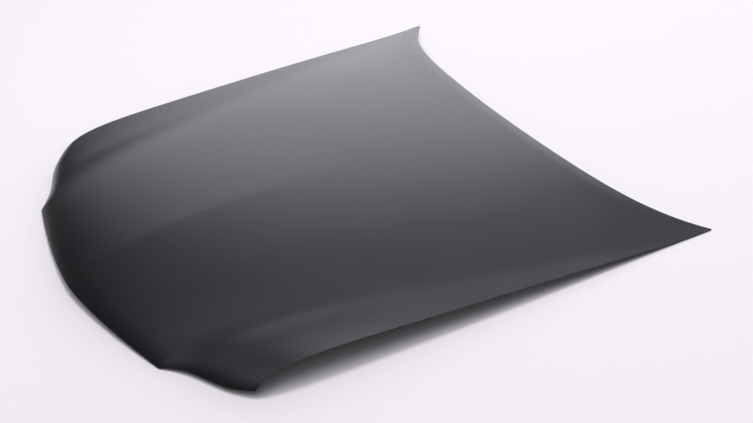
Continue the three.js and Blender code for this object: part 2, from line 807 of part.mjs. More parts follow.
// Places of the pads: the middle of each window's sides, on its flange
function masticPlaces() {
  return windows.flatMap((corners) => corners.map((corner, index) => {
    const next = corners[(index + 1) % corners.length];
    const along = next.clone().sub(corner).normalize();
    const middle = corner.clone().lerp(next, 0.5);
    return middle.add(new THREE.Vector2(along.y, -along.x).multiplyScalar(windowFlange / 2));
  }));
}

const bonnet = new THREE.Group();

function addPiece(name, geometry, material, x = 0, y = 0, z = 0) {
  const mesh = new THREE.Mesh(geometry, material);
  mesh.name = name;
  mesh.position.set(x, y, z);
  bonnet.add(mesh);
}

addPiece("outer_skin", outerSkin(), sheetBlack);
addPiece("inner_frame", innerFrame(), frameBlack);

const hingeHoles = [-0.5, 0.5].map((end) => ({ x: 0, y: end * hingeBoltSpacing, radius: hingeBoltHole }));
const latchHoles = [-0.5, 0.5].map((end) => ({ x: end * latchBoltSpacing, y: 0, radius: latchBoltHole }));
const hingePlateZ = hingePadHeight + seatGap;
const latchPlateZ = latchSeatHeight + seatGap;
const onPlate = plateThickness + seatGap;

[["left", -1], ["right", 1]].forEach(([name, side]) => {
  const plate = reinforcement(hingePadWidth, hingePadLength, hingeHoles, []);
  addPiece(`hinge_reinforcement_${name}`, plate, plateBlack, side * hingePadX, hingeY, hingePlateZ);
  [["front", 0], ["rear", 1]].forEach(([end, hole]) => {
    const y = hingeY + hingeHoles[hole].y;
    addPiece(`hinge_nut_${name}_${end}`, weldNut(), plateBlack, side * hingePadX, y, hingePlateZ + onPlate);
  });
  const nutX = (side * latchBoltSpacing) / 2;
  addPiece(`striker_nut_${name}`, weldNut(), plateBlack, nutX, latchY, latchPlateZ + onPlate);
});
const latchPlate = reinforcement(latchSeatWidth, latchSeatLength, latchHoles, [strikerSlot()]);
addPiece("latch_reinforcement", latchPlate, plateBlack, 0, latchY, latchPlateZ);

masticPlaces().forEach(({ x, y }, index) => {
  addPiece(`mastic_pad_${String(index + 1).padStart(2, "0")}`, masticPad(x, y), masticGrey);
});

// The origin is the middle of the floor under the panel
const box = new THREE.Box3().setFromObject(bonnet);
const centre = box.getCenter(new THREE.Vector3());
bonnet.position.set(-centre.x, -centre.y, -box.min.z);

export default bonnet;
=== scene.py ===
# The looks of a bare car bonnet in satin black primer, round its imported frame. Metres, +Z up.

import math
import bpy
import numpy as np
from mathutils import Matrix, Vector
from mathutils.geometry import delaunay_2d_cdt


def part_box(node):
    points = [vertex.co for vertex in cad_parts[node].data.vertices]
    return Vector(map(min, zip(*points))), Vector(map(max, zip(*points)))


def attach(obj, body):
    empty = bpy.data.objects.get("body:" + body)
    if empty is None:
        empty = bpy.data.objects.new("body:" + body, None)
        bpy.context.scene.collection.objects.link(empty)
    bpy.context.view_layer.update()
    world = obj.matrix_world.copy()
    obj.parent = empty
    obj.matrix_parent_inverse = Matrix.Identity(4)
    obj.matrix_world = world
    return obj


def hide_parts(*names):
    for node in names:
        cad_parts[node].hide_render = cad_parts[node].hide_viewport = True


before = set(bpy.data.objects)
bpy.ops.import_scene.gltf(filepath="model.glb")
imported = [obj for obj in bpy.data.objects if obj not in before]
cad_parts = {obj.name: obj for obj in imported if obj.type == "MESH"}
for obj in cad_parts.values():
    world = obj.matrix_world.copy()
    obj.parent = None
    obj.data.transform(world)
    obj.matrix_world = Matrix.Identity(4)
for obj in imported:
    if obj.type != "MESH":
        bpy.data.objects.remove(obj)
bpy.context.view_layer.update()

# Outline seen from above
OVERALL_WIDTH = 1.450
OVERALL_LENGTH = 1.142
SHOULDER_WIDTH = 1.366
LIP_WIDTH = 0.892
LIP_SWEEP = 0.057
LIP_SWEEP_POWER = 1.55
NOTCH_LENGTH = 0.121
NOTCH_WAVE = 0.7
REAR_SWEEP = 0.113
REAR_HOOK = 0.0545
SIDE_BULGE = 0.024

# Heights above the line through the lip's corners and the rear corners
LIP_RISE = 0.012
LIP_RISE_POWER = 1.3
SHOULDER_RISE = 0.011
SHOULDER_RISE_POWER = 2.2
NOTCH_RISE = 0.048
REAR_RISE = 0.044
REAR_RISE_SQUARE = 0.7
DOME_HEIGHT = 0.0775
DOME_REACH = 0.19
NOSE_ROLL = 0.007
NOSE_REACH = 0.017
SIDE_HEIGHT = 0.038
SIDE_REACH = 0.06
SIDE_DIP = 0.085
SIDE_DIP_POWER = 8
CROWN_POWER = 2.2
EDGE_REACH = 0.035

# Character lines pressed into the skin; most places are shares of the half width and the length
RIDGE_HEIGHT = 0.0032
RIDGE_REACH = 0.170
RIDGE_START = 0.04
RIDGE_END = 0.65
FOLD_START = 0.647
FOLD_DRIFT = 0.376
FOLD_MARGIN = 0.015
FOLD_DEPTH = 0.0148
FOLD_FADE = 1.57
FOLD_POWER = 1.4
FOLD_SHARPNESS = 5
GROOVE_DEPTH = 0.001
GROOVE_WIDTH = 0.08
GROOVE_SHIFT = 0.015
GROOVE_START = 0.05
GROOVE_END = 0.75

# Faint lines that are only drawn here: a bead outside each fold, and a turned strip along the rear edge
BEAD_HEIGHT = 0.0011
BEAD_PLACE = 0.785
BEAD_DRIFT = 0.11
BEAD_WIDTH = 0.055
BEAD_END = 0.60
STRIP_WIDTH = 0.018
STRIP_SLOPE = 0.045

# Sheet metal
SKIN_THICKNESS = 0.00075
FRAME_THICKNESS = 0.0007
SEAT_GAP = 0.0003
HEM_WIDTH = 0.011
HEM_RADIUS = (2 * SKIN_THICKNESS + 2 * SEAT_GAP + FRAME_THICKNESS) / 2

HEM_CORNER_WIDTH = 0.0015
HEM_CORNER_SLOPE = 0.5

# Sizes of the skin's outer face, which the hem is added to
REAR_HALF = OVERALL_WIDTH / 2 - HEM_RADIUS
SHOULDER_HALF = SHOULDER_WIDTH / 2 - HEM_RADIUS
LIP_HALF = LIP_WIDTH / 2
LIP_Y = HEM_RADIUS - OVERALL_LENGTH / 2
REAR_Y = OVERALL_LENGTH / 2 - HEM_RADIUS
PLAIN_POWER = math.log((LIP_SWEEP + NOTCH_LENGTH) / LIP_SWEEP) / math.log(SHOULDER_HALF / LIP_HALF)

# Inner frame: sheet levels under the skin, and the wall round the panel
RIB_DEPTH = 0.020
FLOOR_CLEARANCE = 0.006
PAD_GAP = 0.0032
FRAME_INSET = 0.002
FLANGE_WIDTH = 0.022
WALL_FOOT = 0.046

# Windows of the inner frame, and the ribs between them
WINDOW_FLANGE = 0.018
WINDOW_WALL = 0.015
WINDOW_RADIUS = 0.028
LIP_TO_WINDOW = 0.175
SIDE_WINDOW_BEHIND = 0.020
CENTRE_WINDOW_BEHIND = 0.060
REAR_BEAM = 0.131
SIDE_RAIL = 0.145
NOTCH_RAIL = 0.211
CROSS_RIB_SHARE = 0.604
CROSS_RIB_HALF = 0.045
SPINE_HALF = 0.038
SPINE_FRONT_X = 0.070
SPINE_REAR_X = 0.250

# Hinge pads, latch seat and holes
HINGE_PAD_FROM_SIDE = 0.127
HINGE_PAD_FROM_REAR = 0.190
HINGE_PAD_WIDTH = 0.046
HINGE_PAD_LENGTH = 0.112
HINGE_BOLT_FROM_END = 0.021
HINGE_BOLT_HOLE = 0.005
LATCH_SEAT_FROM_LIP = 0.112
LATCH_SEAT_WIDTH = 0.150
LATCH_SEAT_LENGTH = 0.058
LATCH_BOLT_FROM_END = 0.029
LATCH_BOLT_HOLE = 0.0045
STRIKER_SLOT_WIDTH = 0.044
STRIKER_SLOT_LENGTH = 0.016
SLOT_RADIUS_SHARE = 0.45
SEAT_RADIUS = 0.012
SEAT_WALL = 0.006
PAD_CLEARANCE = 0.006
TOOLING_HOLE = 0.009
TOOLING_FROM_WINDOW = 0.060

# Places in the frame's plan, seen from above
WINDOW_RIM = WINDOW_FLANGE + WINDOW_WALL
FRONT_WINDOW_Y = LIP_Y + LIP_TO_WINDOW
REAR_WINDOW_Y = REAR_Y - REAR_SWEEP - REAR_BEAM
CROSS_RIB_Y = FRONT_WINDOW_Y + CROSS_RIB_SHARE * (REAR_WINDOW_Y - FRONT_WINDOW_Y)
HINGE_PAD_X = OVERALL_WIDTH / 2 - HINGE_PAD_FROM_SIDE
HINGE_Y = REAR_Y - HINGE_PAD_FROM_REAR
LATCH_Y = LIP_Y + LATCH_SEAT_FROM_LIP

# Fineness of the skin and of the frame
SKIN_COLUMNS = 170
SKIN_ROWS = 130
HEM_BENDS = 8
RING_ACROSS = 130
RING_ALONG = 96
WALL_STEPS = 7
ARC_STEPS = 8
WINDOW_STEP = 0.018
HOLE_SIDES = 32
FILL_STEP = 0.016
FILL_MARGIN = 0.55
FLANGE_RINGS = 4
FLANGE_STEPS = 3
SEAT_STEPS = 4
LOCATE_ROUNDS = 14
NORMAL_STEP = 0.002
EDGE_LINES = (0, 0.002, 0.005, 0.009, 0.014)
EDGE_LINES_END = 0.020
SMOOTH_ANGLE = 35

# Camera, from the photograph: image size and focal length in pixels, place and directions
SENSOR_WIDTH = 36
IMAGE_WIDTH = 753
FOCAL_PIXELS = 2300
CAMERA_REACH = 100
CAMERA_RIGHT = Vector((0.38144482, 0.90278423, -0.19869695))
CAMERA_UP = Vector((-0.34603958, 0.33877353, 0.87492234))
CAMERA_FORWARD = Vector((-0.85717936, 0.26497758, -0.44162249))
CAMERA_PLACE = Vector((4.34262, -1.21409, 2.16421))

# Studio, by the direction that is looked in: where each wall or ceiling starts and ends, and its level
WALL_EDGE = (-0.10, 0.667)
WALL_TOP = (0.312, 0.562)
WALL_LEVEL = 3.4
WALL_END = (-0.2, 0.4)
WALL_END_SHARE = 0.14
NEAR_WALL_EDGE = (0.0, 0.5)
NEAR_WALL_LEVEL = 0.5
ROOM_LEVEL = 0.057
CEILING_EDGE = (0.50, 0.85)
CEILING_LEVEL = 0.94
STUDIO_COLOUR = (0.955, 0.97, 1.05, 1)

# Lamp overhead and the floor
LAMP_PLACE = (-1.3, 0.9, 4.6)
LAMP_SIZE = 1.6
LAMP_POWER = 86
LAMP_COLOUR = (1, 0.99, 0.98)
FLOOR_HALF = 12
FLOOR_COLOUR = (0.91, 0.862, 0.868, 1)
FLOOR_ROUGHNESS = 0.6
FLOOR_SPECULAR = 0.2

# Noise: the values that it mostly keeps between, and the detail of the fine grain
NOISE_RANGE = (0.3, 0.7)
GRAIN_DETAIL = 2


def front_edge(x):
    across = np.abs(x)
    t = np.minimum(across / LIP_HALF, 1)
    n = np.maximum(across - LIP_HALF, 0) / (SHOULDER_HALF - LIP_HALF)
    weave = NOTCH_WAVE * n * (1 - n) * (1 - 2 * n)
    y = LIP_Y + LIP_SWEEP * t ** LIP_SWEEP_POWER + NOTCH_LENGTH * (n + weave)
    lip_fall = LIP_RISE * (1 - t ** LIP_RISE_POWER)
    z = lip_fall + SHOULDER_RISE * n ** SHOULDER_RISE_POWER + NOTCH_RISE * n * (1 - n) ** 3
    return y, z


def rear_edge(u):
    y = REAR_Y - REAR_SWEEP + (REAR_SWEEP - REAR_HOOK) * u ** 2 + REAR_HOOK * u ** 6
    z = REAR_RISE * (1 - REAR_RISE_SQUARE * u ** 2 - (1 - REAR_RISE_SQUARE) * u ** 4)
    return y, z


def centre_crown(w):
    return DOME_HEIGHT * (1 - w) * (1 - np.exp(-w / DOME_REACH))


def side_crown(w):
    rise = SIDE_HEIGHT * (1 - w) * (1 - np.exp(-w / SIDE_REACH))
    return rise - SIDE_DIP * np.maximum(w, 0) ** SIDE_DIP_POWER * (1 - w)


def character_lines(u, w):
    across = np.abs(u)
    ridge_fade = np.clip(w / RIDGE_START, 0, 1) * np.clip(1 - w / RIDGE_END, 0, 1)
    ridge = RIDGE_HEIGHT * ridge_fade * np.exp(-across * REAR_HALF / RIDGE_REACH)
    fold = np.minimum(FOLD_START + FOLD_DRIFT * np.clip(w, 0, 1), 1 - FOLD_MARGIN)
    inside = (across / fold) ** FOLD_POWER
    outside = np.maximum(1 - across, 0) / (1 - fold)
    blend = (inside ** FOLD_SHARPNESS + outside ** FOLD_SHARPNESS) ** (1 / FOLD_SHARPNESS)
    sink = FOLD_DEPTH * np.maximum(1 - w, 0) ** FOLD_FADE * inside * outside / blend
    groove_fade = np.clip(w / GROOVE_START, 0, 1) * np.clip(1 - w / GROOVE_END, 0, 1)
    groove = np.exp(-((across - fold + GROOVE_SHIFT) / GROOVE_WIDTH) ** 2)
    return ridge - sink - GROOVE_DEPTH * groove_fade * groove


def plain_height(u, w):
    """Height of the skin before its front edge bends it; w runs like v, from a line without notches."""
    side = np.abs(u) ** CROWN_POWER
    crown = (1 - side) * centre_crown(w) + side * side_crown(w)
    front = LIP_RISE + (SHOULDER_RISE - LIP_RISE) * u ** 2
    return (1 - w) * front + w * rear_edge(u)[1] + crown + character_lines(u, w)


def faint_lines(u, v):
    fade = np.clip(v / GROOVE_START, 0, 1) * np.clip(1 - v / BEAD_END, 0, 1)
    bead = BEAD_HEIGHT * fade * np.exp(-((np.abs(u) - BEAD_PLACE - BEAD_DRIFT * v) / BEAD_WIDTH) ** 2)
    into_strip = np.maximum(STRIP_WIDTH - (1 - v) * (OVERALL_LENGTH - NOTCH_LENGTH), 0)
    return bead - STRIP_SLOPE * (1 - u ** 8) * into_strip


def side_bow(u, v):
    return np.sign(u) * u ** 4 * SIDE_BULGE * v * (1 - v)


def skin_points(u, v):
    """Outer face of the skin: u runs -1 to 1 across the car, v runs 0 to 1 from front to rear."""
    front_y, front_z = front_edge(SHOULDER_HALF * u)
    rear_y = rear_edge(u)[0]
    x = ((1 - v) * SHOULDER_HALF + v * REAR_HALF) * u + side_bow(u, v)
    y = (1 - v) * front_y + v * rear_y
    plain_start = LIP_Y + (LIP_SWEEP + NOTCH_LENGTH) * np.abs(u) ** PLAIN_POWER
    w = (y - plain_start) / (rear_y - plain_start)
    front_w = (front_y - plain_start) / (rear_y - plain_start)
    nose = NOSE_ROLL * (1 - v) * (1 - np.exp(-v / NOSE_REACH))
    bend = (front_z - plain_height(u, front_w)) * (1 - v) * np.exp(-v / EDGE_REACH)
    return np.stack([x, y, plain_height(u, w) + nose + bend + faint_lines(u, v)], -1)


def locate(x, y):
    """The u and v that lie at a place seen from above."""
    u = x / REAR_HALF
    v = 0.5
    for _ in range(LOCATE_ROUNDS):
        front = front_edge(SHOULDER_HALF * u)[0]
        v = (y - front) / (rear_edge(u)[0] - front)
        u = (x - side_bow(u, v)) / ((1 - v) * SHOULDER_HALF + v * REAR_HALF)
    return u, v


def skin_height(x, y):
    return skin_points(*locate(x, y))[..., 2]


def flange_height(x, y):
    return skin_height(x, y) - SKIN_THICKNESS - PAD_GAP


def rib_height(x, y):
    skin = skin_height(x, y)
    return np.minimum(np.maximum(skin - RIB_DEPTH, FLOOR_CLEARANCE), skin - SKIN_THICKNESS - PAD_GAP)


def side_x(y):
    """Half the panel's width at a place along its length."""
    start = front_edge(SHOULDER_HALF)[0]
    v = (y - start) / (REAR_Y - start)
    return (1 - v) * SHOULDER_HALF + v * REAR_HALF + side_bow(1, v)


def even_lines(count, length):
    """Even steps from 0 to 1 with finer ones close to both ends."""
    near = np.array(EDGE_LINES) / length
    middle = np.linspace(EDGE_LINES_END / length, 1 - EDGE_LINES_END / length, count)
    return np.concatenate([near, middle, 1 - near[::-1]])


def grid_normals(points):
    across = np.gradient(points, axis=1)
    along = np.gradient(points, axis=0)
    normal = np.cross(across, along)
    return normal / np.linalg.norm(normal, axis=-1, keepdims=True)


def ring_places(columns, rows):
    """Grid places round the edge, anticlockwise seen from above."""
    right, back = columns - 1, rows - 1
    places = [(i, 0) for i in range(right)]
    places += [(right, j) for j in range(back)]
    places += [(i, back) for i in range(right, 0, -1)]
    return places + [(0, j) for j in range(back, 0, -1)]


class Sheet:
    """One face of a sheet: points, and faces that are anticlockwise seen from its outer side."""

    def __init__(self):
        self.points = []
        self.faces = []

    def add(self, point):
        self.points.append(np.asarray(point, float))
        return len(self.points) - 1

    def band(self, outer, inner):
        for k, start in enumerate(outer):
            following = (k + 1) % len(outer)
            self.faces.append((start, outer[following], inner[following], inner[k]))


def sheet_normals(points, faces):
    sums = np.zeros_like(points)
    for face in faces:
        corners = points[list(face)]
        normal = np.zeros(3)
        for k in range(1, len(face) - 1):
            normal += np.cross(corners[k] - corners[0], corners[k + 1] - corners[0])
        sums[list(face)] += normal / max(np.linalg.norm(normal), 1e-12)
    return sums / np.maximum(np.linalg.norm(sums, axis=1, keepdims=True), 1e-12)


def thicken(sheet, thickness):
    """Closed solid of one thickness behind the outer face of a sheet."""
    points = np.array(sheet.points)
    count = len(points)
    inner = points - thickness * sheet_normals(points, sheet.faces)
    faces = list(sheet.faces)
    faces += [tuple(corner + count for corner in reversed(face)) for face in sheet.faces]
    sides = {(face[k], face[(k + 1) % len(face)]) for face in sheet.faces for k in range(len(face))}
    for a, b in sides:
        if (b, a) not in sides:
            faces.append((a, a + count, b + count, b))
    return np.concatenate([points, inner]), faces


def new_piece(name, points, faces, material, node):
    mesh = bpy.data.meshes.new(name)
    mesh.from_pydata([tuple(point) for point in points], [], faces)
    mesh.validate()
    mesh.update()
    piece = bpy.data.objects.new(name, mesh)
    bpy.context.scene.collection.objects.link(piece)
    mesh.materials.append(material)
    mesh.shade_smooth()
    mesh.set_sharp_from_angle(angle=math.radians(SMOOTH_ANGLE))
    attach(piece, "root")
    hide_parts(node)


def seat_in_box(points, node):
    """Shift that gives the points' box the same middle and foot as the CAD node's box."""
    low, high = (np.array(corner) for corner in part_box(node))
    shift = (low + high) / 2 - (points.min(0) + points.max(0)) / 2
    shift[2] = low[2] - points[:, 2].min()
    return shift


def outer_skin():
    u = 2 * even_lines(SKIN_COLUMNS, OVERALL_WIDTH) - 1
    v = even_lines(SKIN_ROWS, OVERALL_LENGTH - NOTCH_LENGTH)
    grid = skin_points(u[None, :], v[:, None])
    normals = grid_normals(grid)
    rows, columns = grid.shape[:2]
    sheet = Sheet()
    ids = [[sheet.add(grid[j, i]) for i in range(columns)] for j in range(rows)]
    for j in range(rows - 1):
        for i in range(columns - 1):
            sheet.faces.append((ids[j][i], ids[j][i + 1], ids[j + 1][i + 1], ids[j + 1][i]))
    edge = ring_places(columns, rows)
    loop = [ids[j][i] for i, j in edge]
    rim = np.array([grid[j, i] for i, j in edge])
    rim_normals = np.array([normals[j, i] for i, j in edge])
    forward = np.roll(rim, -1, 0) - rim
    forward /= np.linalg.norm(forward, axis=1, keepdims=True)
    tangent = forward + np.roll(forward, 1, 0)
    outward = np.cross(tangent, rim_normals)
    outward /= np.linalg.norm(outward, axis=1, keepdims=True)
    for bend in range(1, HEM_BENDS + 1):
        angle = math.pi * bend / HEM_BENDS
        ring = rim + HEM_RADIUS * (math.sin(angle) * outward + (math.cos(angle) - 1) * rim_normals)
        following = [sheet.add(point) for point in ring]
        sheet.band(following, loop)
        loop = following
    reach = corner_distance(rim, edge, columns, rows)
    width = np.minimum(HEM_WIDTH, HEM_CORNER_WIDTH + HEM_CORNER_SLOPE * reach)
    inner = rim - 2 * HEM_RADIUS * rim_normals - width[:, None] * outward
    sheet.band([sheet.add(point) for point in inner], loop)
    return thicken(sheet, SKIN_THICKNESS)


def corner_distance(rim, edge, columns, rows):
    corners = [rim[k] for k, (i, j) in enumerate(edge) if i in (0, columns - 1) and j in (0, rows - 1)]
    return np.min([np.linalg.norm(rim - corner, axis=1) for corner in corners], axis=0)


def spine_x(y):
    share = (y - FRONT_WINDOW_Y) / (REAR_WINDOW_Y - FRONT_WINDOW_Y)
    return (1 - share) * SPINE_FRONT_X + share * SPINE_REAR_X


def centre_window(front, rear):
    front_x = spine_x(front) - SPINE_HALF
    rear_x = spine_x(rear) - SPINE_HALF
    return [(-front_x, front), (front_x, front), (rear_x, rear), (-rear_x, rear)]


def side_window(front, rear, outer_front, outer_rear):
    front_x = spine_x(front) + SPINE_HALF
    rear_x = spine_x(rear) + SPINE_HALF
    return [(front_x, front), (outer_front, front), (outer_rear, rear), (rear_x, rear)]


def frame_windows():
    """Corners of each window, anticlockwise seen from above, and the places of the tooling holes."""
    window_rear = CROSS_RIB_Y - CROSS_RIB_HALF
    window_front = CROSS_RIB_Y + CROSS_RIB_HALF
    side_front = FRONT_WINDOW_Y + SIDE_WINDOW_BEHIND
    beside_pad = HINGE_PAD_X - HINGE_PAD_WIDTH / 2 - SEAT_WALL - PAD_CLEARANCE - WINDOW_RIM
    beside_notch = side_x(side_front) - NOTCH_RAIL
    front = side_window(side_front, window_rear, beside_notch, side_x(window_rear) - SIDE_RAIL)
    rear = side_window(window_front, REAR_WINDOW_Y, side_x(window_front) - SIDE_RAIL, beside_pad)
    windows = [centre_window(FRONT_WINDOW_Y + CENTRE_WINDOW_BEHIND, window_rear)]
    windows += [centre_window(window_front, REAR_WINDOW_Y), front, rear]
    windows += [[(-x, y) for x, y in reversed(corners)] for corners in (front, rear)]
    places = [(spine_x(CROSS_RIB_Y), CROSS_RIB_Y)]
    places += [((front[0][0] + front[1][0]) / 2, side_front - TOOLING_FROM_WINDOW)]
    places += [((rear[2][0] + rear[3][0]) / 2, REAR_WINDOW_Y + TOOLING_FROM_WINDOW)]
    return windows, places + [(-x, y) for x, y in places]


def rounded_outline(corners, radius, middle=(0, 0)):
    """Outline with round corners, seen from above: points and the outward normal at each."""
    corners = [Vector(corner) for corner in corners]
    arcs = []
    for k, corner in enumerate(corners):
        into = (corner - corners[k - 1]).normalized()
        out = (corners[(k + 1) % len(corners)] - corner).normalized()
        turn = math.atan2(into.cross(out), into.dot(out))
        centre = corner - into * radius * math.tan(turn / 2) + Vector((-into.y, into.x)) * radius
        start = math.atan2(-into.x, into.y)
        angles = [start + turn * step / ARC_STEPS for step in range(ARC_STEPS + 1)]
        arcs.append([(centre, Vector((math.cos(angle), math.sin(angle)))) for angle in angles])
    points, normals = [], []
    for k, arc in enumerate(arcs):
        following = arcs[(k + 1) % len(arcs)][0]
        points += [centre + normal * radius for centre, normal in arc]
        normals += [normal for _, normal in arc]
        run = following[0] + following[1] * radius - points[-1]
        steps = max(math.ceil(run.length / WINDOW_STEP), 1)
        start = points[-1]
        points += [start + run * step / steps for step in range(1, steps)]
        normals += [following[1]] * (steps - 1)
    return np.array(points) + np.array(middle), np.array(normals)


def rectangle(width, length):
    x, y = width / 2, length / 2
    return [(-x, -y), (x, -y), (x, y), (-x, y)]


def circle(x, y, radius):
    angles = 2 * math.pi * np.arange(HOLE_SIDES) / HOLE_SIDES
    return np.stack([x + radius * np.cos(angles), y + radius * np.sin(angles)], 1)


def smooth(share):
    return share * share * (3 - 2 * share)


def add_loop(sheet, places, heights):
    heights = np.broadcast_to(heights, len(places))
    return [sheet.add((x, y, z)) for (x, y), z in zip(places, heights)]


def inside(loop, places):
    """Which places lie inside a closed loop, seen from above."""
    x, y = places[:, 0, None], places[:, 1, None]
    start, end = loop, np.roll(loop, -1, 0)
    crosses = (start[:, 1] > y) != (end[:, 1] > y)
    rise = np.where(end[:, 1] == start[:, 1], 1e-12, end[:, 1] - start[:, 1])
    meets = start[:, 0] + (y - start[:, 1]) * (end[:, 0] - start[:, 0]) / rise
    return (crosses & (x < meets)).sum(1) % 2 == 1


def between(contour, holes, places):
    kept = inside(contour, places)
    for hole in holes:
        kept &= ~inside(hole, places)
    return kept


def fill(sheet, contour, holes, height):
    """Fine triangles inside one loop and outside the others, with even places of their own between."""
    loops = [contour] + holes
    plans = [np.array([sheet.points[corner][:2] for corner in loop]) for loop in loops]
    rim = np.concatenate(plans)
    low, high = rim.min(0), rim.max(0)
    xs = np.arange(low[0], high[0], FILL_STEP)
    ys = np.arange(low[1], high[1], FILL_STEP * math.sqrt(0.75))
    grid = np.array([(x + FILL_STEP / 2 * (row % 2), y) for row, y in enumerate(ys) for x in xs])
    grid = grid[between(plans[0], plans[1:], grid)]
    if len(grid):
        gaps = np.array([np.hypot(*(rim - place).T).min() for place in grid])
        grid = grid[gaps > FILL_MARGIN * FILL_STEP]
    ids = [corner for loop in loops for corner in loop]
    if len(grid):
        ids += add_loop(sheet, grid, height(grid[:, 0], grid[:, 1]))
    plan = np.concatenate([rim, grid])
    sides, start = [], 0
    for loop in loops:
        sides += [(start + k, start + (k + 1) % len(loop)) for k in range(len(loop))]
        start += len(loop)
    found = delaunay_2d_cdt([Vector(place) for place in plan], sides, [], 0, 1e-7)
    corners = np.array([[found[3][corner][0] for corner in face] for face in found[2]])
    middles = plan[corners].mean(1)
    for face in corners[between(plans[0], plans[1:], middles)]:
        a, b, c = plan[face]
        turned = (b[0] - a[0]) * (c[1] - a[1]) - (b[1] - a[1]) * (c[0] - a[0])
        order = face if turned > 0 else face[::-1]
        sheet.faces.append(tuple(ids[corner] for corner in order))


def frame_ring(distance):
    """Places all round the panel, one distance in from its edge, anticlockwise seen from above."""
    right = 1 - 2 * distance / OVERALL_WIDTH
    near = distance / (OVERALL_LENGTH - NOTCH_LENGTH)
    across = np.linspace(-right, right, RING_ACROSS + 1)
    along = np.linspace(near, 1 - near, RING_ALONG + 1)
    wide, deep = np.ones(RING_ACROSS), np.ones(RING_ALONG)
    u = np.concatenate([across[:-1], right * deep, across[:0:-1], -right * deep])
    v = np.concatenate([near * wide, along[:-1], (1 - near) * wide, along[:0:-1]])
    return u, v


def skin_normals(u, v):
    across = skin_points(u + NORMAL_STEP, v) - skin_points(u - NORMAL_STEP, v)
    along = skin_points(u, v + NORMAL_STEP) - skin_points(u, v - NORMAL_STEP)
    normal = np.cross(across, along)
    return normal / np.linalg.norm(normal, axis=-1, keepdims=True)


def frame_edge(sheet):
    """Flange in the hem and the wall down to the ribs; gives back the wall's foot."""
    loop = None
    flange = np.linspace(FRAME_INSET, FLANGE_WIDTH, FLANGE_RINGS)
    wall = FLANGE_WIDTH + (WALL_FOOT - FLANGE_WIDTH) * np.arange(1, WALL_STEPS + 1) / WALL_STEPS
    for distance in [*flange, *wall]:
        u, v = frame_ring(distance)
        points = skin_points(u, v) - (SKIN_THICKNESS + SEAT_GAP) * skin_normals(u, v)
        share = smooth(max(distance - FLANGE_WIDTH, 0) / (WALL_FOOT - FLANGE_WIDTH))
        if share > 0:
            points[:, 2] += share * (rib_height(points[:, 0], points[:, 1]) - points[:, 2])
        following = [sheet.add(point) for point in points]
        if loop:
            sheet.band(loop, following)
        loop = following
    return loop


def stepped_hole(sheet, outline, steps):
    """Bands round an outline; each step is a distance outside it and the heights there."""
    points, normals = outline
    loops = []
    for distance, height in steps:
        places = points + distance * normals
        loops.append(add_loop(sheet, places, height(places[:, 0], places[:, 1])))
    for outer, inner in zip(loops, loops[1:]):
        sheet.band(outer, inner)
    return loops[0], loops[-1]


def blend_height(share, low, high):
    return lambda x, y: (1 - share) * low(x, y) + share * high(x, y)


def flat_height(level):
    return lambda x, y: np.full(np.shape(x), level)


def add_window(sheet, corners):
    """Sloped wall and flange round a window; gives back the wall's loop at the ribs."""
    steps = []
    for step in range(WALL_STEPS, 0, -1):
        share = step / WALL_STEPS
        height = blend_height(smooth(share), flange_height, rib_height)
        steps.append((WINDOW_FLANGE + share * WINDOW_WALL, height))
    for step in range(FLANGE_STEPS, -1, -1):
        steps.append((WINDOW_FLANGE * step / FLANGE_STEPS, flange_height))
    return stepped_hole(sheet, rounded_outline(corners, WINDOW_RADIUS), steps)[0]


def add_seat(sheet, corners, middle, level, seat_holes):
    """Flat seat for a plate, with its holes; gives back its loop at the ribs."""
    flat = flat_height(level)
    steps = []
    for step in range(SEAT_STEPS, -1, -1):
        share = step / SEAT_STEPS
        steps.append((SEAT_WALL * share, blend_height(smooth(share), flat, rib_height)))
    rib, face = stepped_hole(sheet, rounded_outline(corners, SEAT_RADIUS, middle), steps)
    fill(sheet, face, [add_loop(sheet, hole, level) for hole in seat_holes], flat)
    return rib


def seat_level(plate, shift):
    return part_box(plate)[0].z - SEAT_GAP - shift[2]


def add_hinge_pads(sheet, shift):
    bolt = HINGE_PAD_LENGTH / 2 - HINGE_BOLT_FROM_END
    level = seat_level("hinge_reinforcement_left", shift)
    pad = rectangle(HINGE_PAD_WIDTH, HINGE_PAD_LENGTH)
    ribs = []
    for side in (-1, 1):
        x = side * HINGE_PAD_X
        bolt_holes = [circle(x, HINGE_Y + end * bolt, HINGE_BOLT_HOLE) for end in (-1, 1)]
        ribs.append(add_seat(sheet, pad, (x, HINGE_Y), level, bolt_holes))
    return ribs


def add_latch_seat(sheet, shift):
    bolt = LATCH_SEAT_WIDTH / 2 - LATCH_BOLT_FROM_END
    slot_corners = rectangle(STRIKER_SLOT_WIDTH, STRIKER_SLOT_LENGTH)
    slot = rounded_outline(slot_corners, SLOT_RADIUS_SHARE * STRIKER_SLOT_LENGTH, (0, LATCH_Y))[0]
    seat_holes = [circle(side * bolt, LATCH_Y, LATCH_BOLT_HOLE) for side in (-1, 1)] + [slot]
    seat = rectangle(LATCH_SEAT_WIDTH, LATCH_SEAT_LENGTH)
    return add_seat(sheet, seat, (0, LATCH_Y), seat_level("latch_reinforcement", shift), seat_holes)


def inner_frame(shift):
    """Frame under the skin: flange, wall, ribs, windows, hinge pads and latch seat."""
    sheet = Sheet()
    foot = frame_edge(sheet)
    windows, tooling = frame_windows()
    holes = [add_window(sheet, corners) for corners in windows]
    holes += add_hinge_pads(sheet, shift)
    holes.append(add_latch_seat(sheet, shift))
    for x, y in tooling:
        hole = circle(x, y, TOOLING_HOLE)
        holes.append(add_loop(sheet, hole, rib_height(hole[:, 0], hole[:, 1])))
    fill(sheet, foot, holes, rib_height)
    return thicken(sheet, FRAME_THICKNESS)


